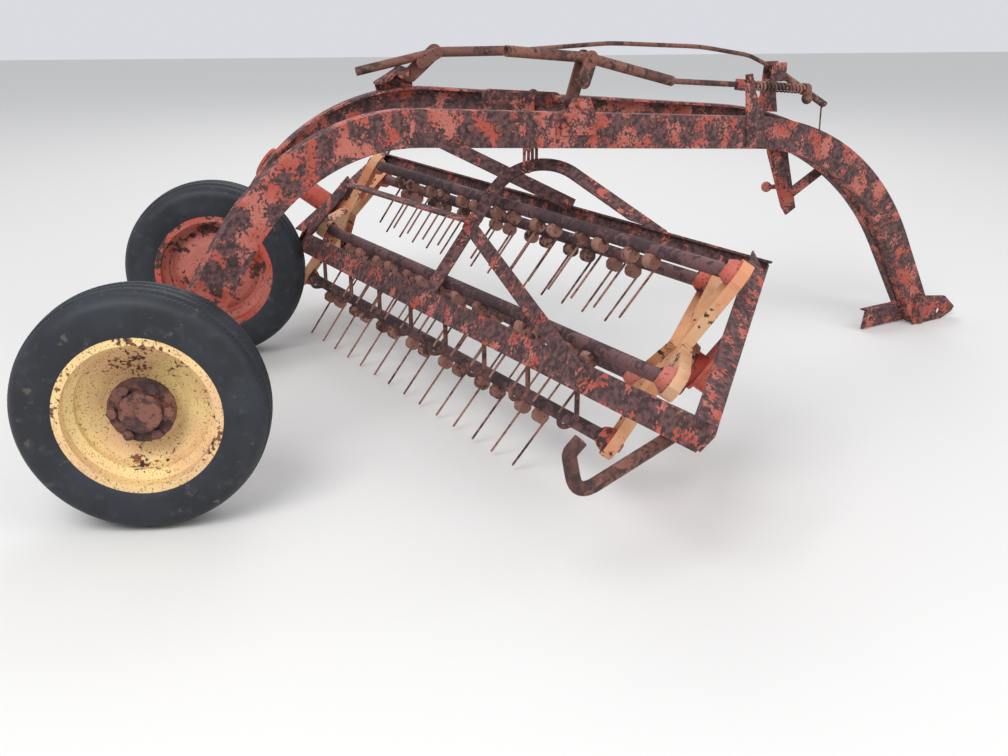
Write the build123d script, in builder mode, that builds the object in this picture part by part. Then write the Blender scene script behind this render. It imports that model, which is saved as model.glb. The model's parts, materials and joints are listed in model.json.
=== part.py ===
# Side delivery rake: two bowed channel beams on a pair of wheels, with a reel of five tooth bars
# hung under them in a basket of angle iron.
# X points forward to the drawbar, Y to the left and Z up. All sizes are in millimetres.
# Places are worked out from the ground under the middle of the axle, and every finished piece is
# then moved so that the pin hole of the hitch plate is the origin.
from build123d import *
from math import atan, cos, degrees, hypot, radians, sin
import os

os.makedirs("parts", exist_ok=True)

# Wheels and axle
track = 1337
tyre_radius = 318
tyre_width = 164
tyre_wall = 12
rim_radius = 190.5
rim_flange = 16
rim_width = 140
rim_gauge = 4
disc_gauge = 6
disc_dish = 28
stud_circle = 69.85
stud_radius = 7
hub_radius = 53
hub_length = 92
axle_radius = 22
running_fit = 0.05
seat_gap = 0.3
bolt_radius = 11
bolt_head = 8
nut_radius = 14

# Beams: where each outer face lies in plan, and the bow of both as seen from the side
right_offset = -575
right_slope = 0.473
left_offset = 220
left_slope = 0.239
beam_height = 104
beam_flange = 42
beam_web = 5
flange_gauge = 7
axle_rise = 68
foot = (-20, tyre_radius - axle_rise)
rear_corner = (416, 962.5)
front_corner = (2335, 783)
nose = (2765, 0)
rear_bend = 596
front_bend = 992
ground_gap = 6

# Reel: place and lean of the near head, and the run of the tooth bars
reel_place = (1336, -706, 430)
head_turn = 17.26
head_dip = 32.56
bar_slant = 25.85
bar_drop = 0.91
bar_count = 5
bar_start = 102.7
reel_radius = 278
bar_length = 1980
bar_radius = 19
bell_radius = 35
bell_depth = 22
pin_radius = 9
head_gauge = 5
head_gap = 2
arm_radius = 43
arm_root = 62
hub_circle = 78
head_flange = 26
lip = 4

# Teeth: places along the bar and the shape of one double tooth
tooth_first = 330
tooth_pitch = 227
tooth_count = 7
coil_offset = 45
coil_length = 34
coil_radius = 20
coil_drop = 34
prong_radius = 3.6
prong_length = 183

# Basket
member_gap = 46
member_leg = 56
left_gap = 62
left_width = 116
left_leg = 30
iron_gauge = 6
rail_web = 70
rail_leg = 26
stripper_place = (-403, -16)
front_place = (326, 190)
lift_travel = 45

# Hitch
hitch_reach = 67
hitch_forward = nose[0] + hitch_reach
hitch_height = 36
hitch_hole = 13
hitch_gauge = 10

right_angle = atan(right_slope)
left_angle = atan(left_slope)


def right_face(x):
    """Y of the right beam's outer face."""
    return right_offset + right_slope * x


right_normal = Vector(sin(right_angle), -cos(right_angle), 0)
hitch_face = Vector(hitch_forward, right_face(hitch_forward), hitch_height)
hitch_point = hitch_face + right_normal * (hitch_gauge / 2)


def save(piece, name, place=Vector(0, 0, 0)):
    """Moves a finished piece to its place in the hitch's frame, labels it and writes its file."""
    solid = piece.part.moved(Location(place - hitch_point))
    solid.label = name
    export_step(solid, f"parts/{name}.step")


def flat_bar(start, end, stand, width, gauge):
    """Adds a flat bar with round ends, from bolt to bolt, its width as near as can be along stand."""
    run = (end - start).normalized()
    face = run.cross(stand).normalized()
    origin = (start + end) * 0.5 - face * (gauge / 2)
    with BuildSketch(Plane(origin=origin, x_dir=run, z_dir=face)) as flat:
        SlotCenterToCenter((end - start).length, width)
    extrude(flat.sketch, amount=gauge)


def round_bar(start, end, radius, bore=0.0):
    """Adds a round bar, or a pipe where a bore is given."""
    with BuildSketch(Plane(origin=start, z_dir=end - start)) as ring:
        Circle(radius)
        if bore:
            Circle(bore, mode=Mode.SUBTRACT)
    extrude(ring.sketch, amount=(end - start).length)


def ball(place, radius):
    """Adds a turned ball: seven rings of an octagon's outline, lofted straight."""
    rings = []
    for step in range(7):
        rise = radians(15 + 25 * step)
        with BuildSketch(Plane(origin=place - Vector(0, 0, radius * cos(rise)))) as ring:
            RegularPolygon(radius * sin(rise), 10)
        rings.append(ring.sketch)
    loft(sections=rings, ruled=True)


def round_hole(start, end, radius):
    """Cuts a round hole from start to end."""
    with BuildSketch(Plane(origin=start, z_dir=end - start)) as disc:
        Circle(radius)
    extrude(disc.sketch, amount=(end - start).length, mode=Mode.SUBTRACT)


def bolt_heads(plane, places, depth):
    """Adds hexagonal bolt heads on a plane at the given places."""
    with BuildSketch(plane) as heads:
        with Locations(*places):
            RegularPolygon(bolt_radius, 6)
    extrude(heads.sketch, amount=depth)


# Directions of the reel: outward from the right head, the two in its plane, and along the bars
outward = Vector(
    cos(radians(head_dip)) * cos(radians(head_turn)),
    -cos(radians(head_dip)) * sin(radians(head_turn)),
    -sin(radians(head_dip)),
)
across = Vector(sin(radians(head_turn)), cos(radians(head_turn)), 0)
upward = outward.cross(across)
along = Vector(
    -sin(radians(bar_slant)) * cos(radians(bar_drop)),
    cos(radians(bar_slant)) * cos(radians(bar_drop)),
    -sin(radians(bar_drop)),
)
inward = along.cross(upward).normalized()
lean = -along.dot(outward)
reel_centre = Vector(*reel_place)


def reel_point(a, b, run):
    """The point a across and b up in the head's plane, carried the length run along the bars."""
    return reel_centre + across * a + upward * b + along * run


def head_plane(run, out=0.0):
    """A plane parallel to the heads, at the length run along the bars and out beyond it."""
    return Plane(origin=reel_point(0, 0, run) + outward * out, x_dir=across, z_dir=outward)


# Beams: a channel swept round the bow, with its flanges turned in
def beam(offset, angle, flange):
    """Channel beam whose web lies in a standing plane, turned by angle in plan."""
    stretch = 1 / cos(angle)
    run = Vector(cos(angle), sin(angle), 0)
    face = Plane(origin=(0, offset, 0), x_dir=run, z_dir=(sin(angle), -cos(angle), 0))
    corners = [(x * stretch, z) for x, z in (foot, rear_corner, front_corner)]
    drop = beam_height
    end_x = nose[0] + drop * (nose[0] - front_corner[0]) / front_corner[1]
    corners.append((end_x * stretch, -drop))
    side = 1 if flange > 0 else -1
    with BuildPart() as channel:
        with BuildSketch(face):
            with BuildLine():
                FilletPolyline(*corners, radius=[rear_bend, front_bend])
            trace(line_width=beam_height)
        extrude(amount=flange)
        with BuildSketch(face.offset(side * beam_web)):
            with BuildLine():
                FilletPolyline(*corners, radius=[rear_bend, front_bend])
            trace(line_width=beam_height - 2 * flange_gauge)
        extrude(amount=flange, mode=Mode.SUBTRACT)
        split(bisect_by=Plane.XY.offset(ground_gap), keep=Keep.TOP)
        with BuildSketch(Plane.XZ.offset(0)):
            with Locations((0, tyre_radius)):
                Circle(axle_radius + seat_gap)
        extrude(amount=track, both=True, mode=Mode.SUBTRACT)
    return channel


save(beam(right_offset, right_angle, -beam_flange), "beam_right")
save(beam(left_offset, left_angle, beam_flange), "beam_left")


# Axle: one round bar through both beams, with a collar on the outer side of each foot
with BuildPart() as axle:
    with BuildSketch(Plane.XZ):
        with Locations((0, tyre_radius)):
            Circle(axle_radius)
    extrude(amount=track / 2 + hub_length / 2, both=True)
save(axle, "axle")


# Wheels: a tyre with an open casing, a drop-centre rim with its pressed disc, and a hub
def wheel(side, name):
    """Writes the tyre, rim and hub of one wheel; side is -1 on the right and 1 on the left."""
    middle = Plane(
        origin=(0, side * track / 2, tyre_radius), x_dir=(1, 0, 0), z_dir=(0, side, 0)
    )
    section = Plane(origin=middle.origin, x_dir=(1, 0, 0), z_dir=(0, 0, -side))
    axis = Axis(middle.origin, middle.z_dir)
    half = tyre_width / 2
    bead = rim_radius + seat_gap
    seat = rim_width / 2 - seat_gap
    belly = (bead + tyre_radius) / 2
    with BuildPart() as tyre:
        with BuildSketch(section):
            with BuildLine():
                Polyline(
                    (bead, -seat),
                    (bead + rim_flange, -seat),
                    (belly, -half),
                    (tyre_radius - 30, -half + 5),
                    (tyre_radius - 8, -half + 22),
                    (tyre_radius, -half / 3),
                    (tyre_radius, half / 3),
                    (tyre_radius - 8, half - 22),
                    (tyre_radius - 30, half - 5),
                    (belly, half),
                    (bead + rim_flange, seat),
                    (bead, seat),
                )
                offset(amount=tyre_wall, side=Side.LEFT, kind=Kind.INTERSECTION)
            make_face()
        revolve(axis=axis)
    save(tyre, "tyre_" + name)

    well = rim_radius - 20
    with BuildPart() as rim:
        with BuildSketch(section):
            with BuildLine():
                Polyline(
                    (rim_radius + rim_flange, -rim_width / 2),
                    (rim_radius, -rim_width / 2),
                    (rim_radius, -rim_width / 4),
                    (well, -rim_width / 8),
                    (well, rim_width / 8),
                    (rim_radius, rim_width / 4),
                    (rim_radius, rim_width / 2),
                    (rim_radius + rim_flange, rim_width / 2),
                )
                offset(amount=rim_gauge, side=Side.LEFT, kind=Kind.INTERSECTION)
            make_face()
            with BuildLine():
                Polyline(
                    (hub_radius + seat_gap, disc_dish),
                    (stud_circle + 28, disc_dish),
                    (well - 40, disc_dish / 2),
                    (well - 18, 0),
                    (well, 0),
                )
                offset(amount=disc_gauge, side=Side.LEFT, kind=Kind.INTERSECTION)
            make_face()
        revolve(axis=axis)
        with BuildSketch(middle):
            Circle(hub_radius + seat_gap)
            with PolarLocations(stud_circle, 6):
                RegularPolygon(stud_radius + seat_gap, 6)
            with PolarLocations(well - 42, 4, start_angle=45):
                Rectangle(14, 56)
        extrude(amount=disc_dish + disc_gauge, mode=Mode.SUBTRACT)
    save(rim, "rim_" + name)

    with BuildPart() as hub:
        with BuildSketch(middle.offset(-hub_length / 2)):
            Circle(hub_radius)
        extrude(amount=hub_length)
        with BuildSketch(middle.offset(disc_dish - seat_gap)):
            RegularPolygon(stud_circle + 2.2 * stud_radius, 18)
        extrude(amount=-2 * disc_gauge)
        with BuildSketch(middle.offset(disc_dish - seat_gap)):
            with PolarLocations(stud_circle, 6):
                RegularPolygon(stud_radius, 6)
        extrude(amount=disc_gauge + seat_gap)
        with BuildSketch(middle.offset(disc_dish + disc_gauge + seat_gap)):
            with PolarLocations(stud_circle, 6):
                RegularPolygon(nut_radius, 6)
        extrude(amount=12)
        with BuildSketch(middle.offset(-hub_length / 2)):
            Circle(axle_radius + running_fit)
        extrude(amount=hub_length + running_fit, mode=Mode.SUBTRACT)
    save(hub, "hub_" + name)


wheel(-1, "right")
wheel(1, "left")


# Heads: a pressed star of five flanged arms, with the boss of its shaft on the outer face
plate_inner = bell_depth + head_gap
plate_outer = plate_inner + head_gauge
nut_depth = 9
boss_depth = 30
shaft_radius = 16
shaft_depth = 84
slot_place = 150
crease_half = 30
crease_rise = 7


def head(run, side, name):
    """One star head; side is 1 on the right, where outward faces out, and -1 on the left."""

    def level(out):
        return head_plane(run, side * out)

    with BuildPart() as spider:
        for trim in (0, lip):
            with BuildSketch(level(plate_outer if trim == 0 else plate_inner)):
                Circle(hub_circle - trim)
                with PolarLocations(0, bar_count, start_angle=bar_start):
                    Polygon(
                        (0, trim - arm_root),
                        (reel_radius, trim - arm_radius),
                        (reel_radius + 0.7 * arm_radius, 0.7 * (trim - arm_radius)),
                        (reel_radius + arm_radius - trim, 0),
                        (reel_radius + 0.7 * arm_radius, 0.7 * (arm_radius - trim)),
                        (reel_radius, arm_radius - trim),
                        (0, arm_root - trim),
                        align=None,
                    )
            if trim == 0:
                extrude(amount=-side * (head_gauge + head_flange))
            else:
                extrude(amount=-side * head_flange, mode=Mode.SUBTRACT)
        for arm in range(bar_count):
            turn = radians(bar_start + arm * 360 / bar_count)
            spoke = across * cos(turn) + upward * sin(turn)
            crease = level(plate_outer).origin + spoke * (hub_circle - 20)
            with BuildSketch(Plane(origin=crease, x_dir=outward * side, z_dir=spoke)):
                Polygon((0, -crease_half), (crease_rise, 0), (0, crease_half), align=None)
            extrude(amount=slot_place - 22 - hub_circle + 20)
            crease = crease + spoke * (slot_place + 22 - hub_circle + 20)
            with BuildSketch(Plane(origin=crease, x_dir=outward * side, z_dir=spoke)):
                Polygon((0, -crease_half), (crease_rise, 0), (0, crease_half), align=None)
            extrude(amount=reel_radius - nut_radius - 8 - slot_place - 22)
        with BuildSketch(level(plate_outer)):
            Circle(hub_circle - 18)
        extrude(amount=side * boss_depth, taper=14)
        with BuildSketch(level(plate_outer + boss_depth)):
            Circle(shaft_radius)
        extrude(amount=side * shaft_depth)
        with BuildSketch(level(plate_outer)):
            with PolarLocations(reel_radius, bar_count, start_angle=bar_start):
                Circle(pin_radius + running_fit)
            with PolarLocations(slot_place, bar_count, start_angle=bar_start):
                Rectangle(44, 13)
        extrude(amount=-side * (head_gauge + 1), mode=Mode.SUBTRACT)
    save(spider, name)


head(0, 1, "head_right")
head(bar_length, -1, "head_left")


# Tooth bars: a tube between two bell ends, each bell with its pin square to the heads, and a row
# of double spring teeth. All five are alike and keep the same lean as the heads turn.
bell_profile = ((0, -30), (24, -24), (bell_radius, 2), (bell_radius, bell_depth), (0, bell_depth))
bar_sides = 12
coil_sides = 8
prong_sides = 5

with BuildPart() as bar:
    with BuildSketch(Plane(origin=(0, 0, 0), x_dir=inward, z_dir=along)):
        RegularPolygon(bar_radius, bar_sides)
    extrude(amount=bar_length)
    for run, side in ((0, 1), (bar_length, -1)):
        centre = along * run
        out = outward * side
        with BuildSketch(Plane(origin=centre, x_dir=across, z_dir=upward * -side)):
            Polygon(*bell_profile, align=None)
        revolve(axis=Axis(centre, out))
        with BuildSketch(Plane(origin=centre + out * bell_depth, x_dir=across, z_dir=out)):
            Circle(pin_radius)
        extrude(amount=plate_outer + nut_depth - bell_depth)
        nut_face = centre + out * (plate_outer + seat_gap)
        with BuildSketch(Plane(origin=nut_face, x_dir=across, z_dir=out)):
            RegularPolygon(nut_radius, 6)
        extrude(amount=nut_depth)
    for tooth in range(tooth_count):
        for hand in (-1, 1):
            middle = tooth_first + tooth * tooth_pitch + hand * coil_offset
            axis_point = along * (middle - coil_length / 2) - upward * coil_drop
            with BuildSketch(Plane(origin=axis_point, x_dir=inward, z_dir=along)):
                RegularPolygon(coil_radius, coil_sides)
            extrude(amount=coil_length)
            tip_run = middle + hand * (coil_length / 2 - prong_radius)
            root = along * tip_run - upward * coil_drop + inward * (coil_radius - prong_radius)
            with BuildSketch(Plane(origin=root, x_dir=across, z_dir=-upward)):
                RegularPolygon(prong_radius, prong_sides)
            extrude(amount=prong_length)

for number in range(bar_count):
    turn = radians(bar_start + number * 360 / bar_count)
    place = reel_point(reel_radius * cos(turn), reel_radius * sin(turn), 0)
    save(bar, f"bar_{number + 1}", place)


# Basket rails: two lengths of angle iron along the reel, cut parallel to the heads
above = inward.cross(along).normalized()
if above.Z < 0:
    above = -above
end_gap = member_gap + member_leg - iron_gauge
stripper_reach = 15
rod_radius = 6.5
stripper_lead = -2
stripper_count = tooth_count + 1


def rail_point(place, run, x, y):
    """A point of a rail's square section at run: x in from its web's centre line and y up."""
    return reel_point(place[0], place[1], run) + inward * x + above * y


def rail(place, hand, holes):
    """Angle iron with its web outside and its short leg at the top, turned in by hand."""
    half = rail_web / 2
    with BuildPart() as iron:
        with BuildSketch(Plane(origin=rail_point(place, 0, 0, 0), x_dir=inward, z_dir=-along)):
            Polygon(
                (0, half),
                (hand * rail_leg, half),
                (hand * rail_leg, half - iron_gauge),
                (hand * iron_gauge, half - iron_gauge),
                (hand * iron_gauge, -half),
                (0, -half),
                align=None,
            )
        extrude(amount=2 * bar_length, both=True)
        split(bisect_by=head_plane(0, end_gap), keep=Keep.BOTTOM)
        split(bisect_by=head_plane(bar_length, -left_gap), keep=Keep.TOP)
        for run in holes:
            top = rail_point(place, run, stripper_reach, half)
            with BuildSketch(Plane(origin=top, x_dir=inward, z_dir=above)):
                RegularPolygon(rod_radius + 2 * seat_gap, 6, major_radius=False)
            extrude(amount=-iron_gauge, mode=Mode.SUBTRACT)
    return iron


stripper_runs = [tooth_first + stripper_lead + tooth_pitch * k for k in range(stripper_count)]
save(rail(stripper_place, 1, stripper_runs), "stripper_rail")
save(rail(front_place, -1, []), "front_rail")


# Strippers: round rods bolted down through the rail's short leg, hanging and hooked outward
down = Vector(0, 0, -1)
sideways = Vector(along.Y, -along.X, 0).normalized()
stripper_leg = 150
stripper_hook = 54
stripper_tip = 40
hook_round = 13
rod_nut = 11

with BuildPart() as strippers:
    for run in stripper_runs:
        top = rail_point(stripper_place, run, stripper_reach, rail_web / 2 + rod_nut + 3)
        bend = rail_point(stripper_place, run, stripper_reach, rail_web / 4)
        low = bend + down * stripper_leg
        toe = low - sideways * stripper_hook
        tip = toe - down * stripper_tip
        with BuildLine():
            route = Polyline(
                top,
                bend,
                low - down * hook_round,
                low - sideways * hook_round,
                toe + sideways * hook_round,
                toe - down * hook_round,
                tip,
            )
        with BuildSketch(Plane(origin=top, z_dir=-above)):
            RegularPolygon(rod_radius, 6)
        sweep(path=route, transition=Transition.RIGHT)
        nut_place = rail_point(stripper_place, run, stripper_reach, rail_web / 2 + seat_gap)
        with BuildSketch(Plane(origin=nut_place, x_dir=inward, z_dir=above)):
            RegularPolygon(rod_nut, 6)
        extrude(amount=rod_nut)
save(strippers, "strippers")


# Pipe hook: a bent pipe under the near end of the stripper rail
pipe_radius = 16.5
pipe_run = -37
pipe_place = rail_point(stripper_place, pipe_run, 0, 0)
with BuildPart() as pipe_hook:
    with BuildLine():
        hook = FilletPolyline(
            pipe_place + sideways * 40 + down * 37,
            pipe_place - sideways * 240 + down * 124,
            pipe_place - sideways * 262 + down * 18,
            pipe_place - sideways * 232 - down * 6,
            radius=[46, 20],
        )
    with BuildSketch(Plane(origin=hook @ 0, z_dir=hook % 0)):
        RegularPolygon(pipe_radius, 8)
    sweep(path=hook)
save(pipe_hook, "pipe_hook")


# End members: bent plate between the two rails, its flat against their cut ends. The right one has
# its edge turned in over the head, the left one is wide, with the shaft through it.
span = Vector(front_place[0] - stripper_place[0], front_place[1] - stripper_place[1])
member_run = across * (span.X / span.length) + upward * (span.Y / span.length)
member_rise = upward * (span.X / span.length) - across * (span.Y / span.length)
cover = 12
shaft_hole = shaft_radius + 4


def member(run, side, gap, width, turned, name):
    """One end member: its flat lies gap out from the head, its edge is turned by that length."""

    def level(out):
        middle = (Vector(*stripper_place) + Vector(*front_place)) * 0.5
        origin = reel_point(middle.X, middle.Y, run - side * out / lean)
        return Plane(origin=origin, x_dir=member_run, z_dir=outward)

    edge = width / 2
    axis_point = head_plane(run, side * gap).origin
    with BuildPart() as iron:
        with BuildSketch(level(gap)):
            with Locations((0, edge - iron_gauge / 2)):
                Rectangle(span.length + member_leg, iron_gauge)
        extrude(amount=side * turned)
        floor_point = rail_point(stripper_place, run, 0, rail_web / 2 + seat_gap)
        split(bisect_by=Plane(origin=floor_point, z_dir=above), keep=Keep.TOP)
        web_point = rail_point(front_place, run, -rail_leg - seat_gap, 0)
        split(bisect_by=Plane(origin=web_point, z_dir=inward), keep=Keep.BOTTOM)
        with BuildSketch(level(gap)):
            Rectangle(span.length + 2 * cover, width)
        extrude(amount=side * iron_gauge)
        with BuildSketch(Plane(origin=axis_point, x_dir=across, z_dir=outward)):
            Circle(shaft_hole)
        extrude(amount=side * iron_gauge, mode=Mode.SUBTRACT)
    save(iron, name)


member(0, 1, end_gap, member_leg, member_gap - end_gap, "end_member_right")
member(bar_length, -1, left_gap, left_width, left_leg, "end_member_left")


# Shaft housings: turned, each with the plate that bolts it to its end member. The right member
# passes above the shaft, so its plate reaches up to it on the inner side.
housing_gap = 3
housing_radius = 42
hanger_gauge = 8


def housing(run, side, start, plate, rise, length, flange, name):
    """Bearing housing from start to length, its plate's face at plate, its member at rise."""
    axis_point = head_plane(run).origin

    def level(out):
        origin = axis_point + outward * (side * out)
        return Plane(origin=origin, x_dir=member_run, z_dir=outward)

    with BuildPart() as shell:
        with BuildSketch(level(start)):
            Circle(housing_radius)
        extrude(amount=side * (length - start))
        with BuildSketch(level(plate)):
            Circle(housing_radius + 12)
            if rise:
                Polygon(
                    (-housing_radius - 6, 0),
                    (housing_radius + 6, 0),
                    (member_leg, rise),
                    (-member_leg, rise),
                    align=None,
                )
        extrude(amount=side * hanger_gauge)
        with BuildSketch(level(length)):
            Circle(flange)
        extrude(amount=side * 10)
        with BuildSketch(level(start)):
            Circle(shaft_radius + running_fit)
        extrude(amount=side * (shaft_end + 1 - start), mode=Mode.SUBTRACT)
    save(shell, name)


shaft_end = plate_outer + boss_depth + shaft_depth
boss_end = plate_outer + boss_depth
member_middle = (Vector(*stripper_place) + Vector(*front_place)) * 0.5
member_point = reel_point(member_middle.X, member_middle.Y, -end_gap / lean)
hanger_rise = (member_point - reel_centre).dot(member_rise) + member_leg / 2 - 2 * iron_gauge
housing(0, 1, boss_end + housing_gap, end_gap - hanger_gauge, hanger_rise, 150, 30, "bearing_right")
left_face_out = left_gap + iron_gauge
housing(bar_length, -1, left_face_out, left_face_out, 0, 392, 64, "drive_housing")


# Places beside the beams: a point from its X and Z, out from the beam's own face
left_normal = Vector(-sin(left_angle), cos(left_angle), 0)


def by_right(x, z, out):
    """A point out from the right beam's outer face."""
    return Vector(x, right_face(x), z) + right_normal * out


def by_left(x, z, out):
    """A point out from the left beam's outer face."""
    return Vector(x, left_offset + left_slope * x, z) + left_normal * out


# Bail: a flat bar bent to an arch over the basket, standing on both rails and hung by its pin
bail_width = 38
bail_gauge = 10
bail_left_run = 1093
bail_right_run = 284
bail_corner = Vector(1066, 150, 843)
bail_bend = 165
bail_pin_radius = 8
strap_gap = 27
pin_half = 36
rail_half = rail_web / 2
left_toe = rail_point(stripper_place, bail_left_run, 0, rail_half + seat_gap)
right_toe = rail_point(front_place, bail_right_run, -rail_leg / 2, rail_half + seat_gap)
bail_face = (left_toe - bail_corner).cross(right_toe - bail_corner).normalized()
bail_side = (right_toe - left_toe).normalized()
bail_plane = Plane(origin=bail_corner, x_dir=bail_side, z_dir=bail_face)
pin_run = Vector(bail_face.X, bail_face.Y, 0).normalized()


def on_bail(point):
    """A point in the bail's own plane."""
    local = bail_plane.to_local_coords(point)
    return (local.X, local.Y)


def bail_end(toe):
    """The end of a leg, carried on past its toe so that it can be cut to the rail."""
    return toe + (toe - bail_corner).normalized() * bail_width


with BuildPart() as bail:
    with BuildSketch(bail_plane):
        with BuildLine():
            arch = FilletPolyline(
                on_bail(bail_end(left_toe)),
                on_bail(bail_corner),
                on_bail(bail_end(right_toe)),
                radius=bail_bend,
            )
        trace(line_width=bail_width)
    extrude(amount=-bail_gauge)
    for toe in (left_toe, right_toe):
        with BuildSketch(Plane(origin=toe, z_dir=-above)):
            Rectangle(4 * bail_width, 4 * bail_width)
        extrude(amount=3 * bail_width, mode=Mode.SUBTRACT)
    bends = arch.edges().filter_by(GeomType.CIRCLE)
    arch_top = max(bends, key=lambda edge: edge.radius)
    bail_mid = bail_plane.from_local_coords(arch_top @ 0.5) - bail_face * (bail_gauge / 2)
    round_bar(bail_mid + pin_run * pin_half, bail_mid - pin_run * pin_half, bail_pin_radius)
save(bail, "bail")


# Lift arm: a flat bar inside the right beam, on the shaft that crosses over the beam, with the pin
# that carries the straps
arm_gauge = 10
arm_height = 42
arm_pivot = (1212, 967)
arm_back = (1000, 990)
crank_radius = 13
crank_out = 12
beam_side = Plane(
    origin=(0, right_offset, 0), x_dir=(cos(right_angle), sin(right_angle), 0), z_dir=right_normal
)


def on_beam(x, z):
    """A point in the right beam's own plane, from its X and Z."""
    return (x / cos(right_angle), z)


arm_slope = (arm_pivot[1] - arm_back[1]) / (arm_pivot[0] - arm_back[0])
arm_pin_height = arm_back[1] + arm_slope * (bail_mid.X - arm_back[0])
strap_pin = Vector(bail_mid.X, bail_mid.Y, arm_pin_height)
arm_depth = beam_side.to_local_coords(strap_pin).Z
with BuildPart() as lift_arm:
    pivot = by_right(*arm_pivot, arm_depth)
    flat_bar(by_right(*arm_back, arm_depth), pivot, Vector(0, 0, 1), arm_height, arm_gauge)
    round_bar(by_right(*arm_pivot, crank_out), pivot, crank_radius)
    round_bar(strap_pin + pin_run * pin_half, strap_pin - pin_run * pin_half, bail_pin_radius)
    with BuildSketch(beam_side.offset(crank_out)):
        with Locations(on_beam(*arm_pivot)):
            RegularPolygon(nut_radius + 4, 6)
    extrude(amount=bolt_head)
save(lift_arm, "lift_arm")


# Hanging straps: two flat bars on the arm's pin, each with an upright slot that the bail's pin
# rides in
strap_gauge = 6
strap_width = 34
pin_slot = 2 * bail_pin_radius + 1
for front, name in ((1, "strap_right"), (-1, "strap_left")):
    start = bail_mid + pin_run * (front * strap_gap)
    strap_plane = Plane(origin=start, x_dir=(-pin_run.Y, pin_run.X, 0), z_dir=pin_run)
    upper = strap_pin.Z - bail_mid.Z
    with BuildPart() as strap:
        with BuildSketch(strap_plane):
            with Locations((0, upper / 2)):
                SlotOverall(upper + strap_width, strap_width, rotation=90)
            with Locations((0, lift_travel / 2)):
                SlotOverall(lift_travel + pin_slot, pin_slot, rotation=90, mode=Mode.SUBTRACT)
            with Locations((0, upper)):
                Circle(bail_pin_radius + seat_gap, mode=Mode.SUBTRACT)
        extrude(amount=front * strap_gauge)
    save(strap, name)


# Lift lever: two plates on the lift shaft, bolted together over the end of the push tube
lever_top = (1250, 1096)
lever_low = (1228, 1030)
lever_width = 44
lever_gauge = 8
lever_gap = 34
lever_out = -7
lever_middle = lever_out - lever_gauge - lever_gap / 2
with BuildPart() as lift_lever:
    for out, low in ((lever_out, lever_low), (lever_out - lever_gauge - lever_gap, arm_pivot)):
        middle = out - lever_gauge / 2
        across = right_normal.cross(Vector(0, 0, 1))
        flat_bar(by_right(*low, middle), by_right(*lever_top, middle), across, lever_width, lever_gauge)
    middle = lever_out - lever_gauge / 2
    for place in (lever_top, lever_low):
        inner = by_right(*place, lever_out - 2 * lever_gauge - lever_gap - bolt_head)
        round_bar(by_right(*place, lever_out), inner, bolt_head)
    bolt_heads(beam_side.offset(lever_out), [on_beam(*lever_top), on_beam(*lever_low)], bolt_head)
    with BuildSketch(beam_side):
        with Locations(on_beam(*arm_pivot)):
            Circle(crank_radius + seat_gap)
    extrude(amount=-lever_gap - 3 * lever_gauge, mode=Mode.SUBTRACT)
save(lift_lever, "lift_lever")


# Push tube: a pipe from the rear through the lever, then a bar to the front upright, where it
# slides in its eye against a coil spring
tube_radius = 16
tube_bore = 12
tube_depth = 120
push_radius = 9
tube_rear = (993, 1126)
tube_joint = (1548, 1011)
push_eye = (1815, 984)
push_end = (2092, 952)
with BuildPart() as push_tube:
    rear = by_right(*tube_rear, lever_middle)
    joint = by_right(*tube_joint, lever_middle)
    middle = by_right(*lever_top, lever_middle)
    round_bar(rear, middle, tube_radius)
    round_bar(middle, joint, tube_radius)
    round_bar(joint, by_right(*push_eye, lever_middle), push_radius)
    round_bar(by_right(*push_eye, lever_middle), by_right(*push_end, lever_middle), push_radius)
    with BuildSketch(Plane(origin=rear, z_dir=middle - rear)):
        Circle(tube_bore)
    extrude(amount=tube_depth, mode=Mode.SUBTRACT)
    with BuildSketch(beam_side.offset(lever_out + 1)):
        with Locations(on_beam(*lever_top)):
            Circle(bolt_head + seat_gap)
    extrude(amount=-lever_gap - 2 * lever_gauge, mode=Mode.SUBTRACT)
save(push_tube, "push_tube")


# Coil springs: each turned as a row of rounded coils between its two seats
spring_radius = 17
spring_wire = 5
coil_turns = 12


def spring(start, end, bore, radius, name):
    """A close coil spring of this radius from start to end, around a bar of this bore."""
    run = end - start
    side = run.cross(Vector(0, 0, 1))
    with BuildPart() as coil:
        for step in range(2 * coil_turns + 1):
            ring = radius if step % 2 else radius - spring_wire
            place = start + run * (step / (2 * coil_turns))
            with BuildSketch(Plane(origin=place, x_dir=side, z_dir=run)):
                RegularPolygon(ring, coil_sides)
        loft(ruled=True)
        round_hole(start, end, bore)
    save(coil, name)


# Front upright of the right side: a tall narrow plate on the beam, with the push bar's eye block
upright_gauge = 8
upright_outline = (
    (1800, 1020), (1824, 1022), (1842, 960), (1932, 800), (1905, 780), (1822, 780), (1806, 960)
)
eye_length = 44
eye_start = by_right(*push_eye, lever_middle)
push_run = (by_right(*push_end, lever_middle) - eye_start).normalized()
with BuildPart() as upright_right:
    with BuildSketch(beam_side):
        Polygon(*[on_beam(*corner) for corner in upright_outline], align=None)
    extrude(amount=upright_gauge)
    bolt_heads(beam_side.offset(upright_gauge), [on_beam(1843, 836), on_beam(1904, 812)], bolt_head)
    round_bar(by_right(1812, 1008, upright_gauge + bolt_head), by_right(1812, 1008, 0), bolt_head)
    eye_face = Plane(origin=eye_start - push_run * (eye_length / 2), x_dir=right_normal, z_dir=push_run)
    with BuildSketch(eye_face):
        with Locations((lever_middle / -2 - 4, 0)):
            Rectangle(-lever_middle + 8, 36)
    extrude(amount=eye_length)
    with BuildSketch(Plane(origin=eye_start - push_run * eye_length, z_dir=push_run)):
        Circle(push_radius + seat_gap)
    extrude(amount=2 * eye_length, mode=Mode.SUBTRACT)
save(upright_right, "upright_right")


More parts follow.
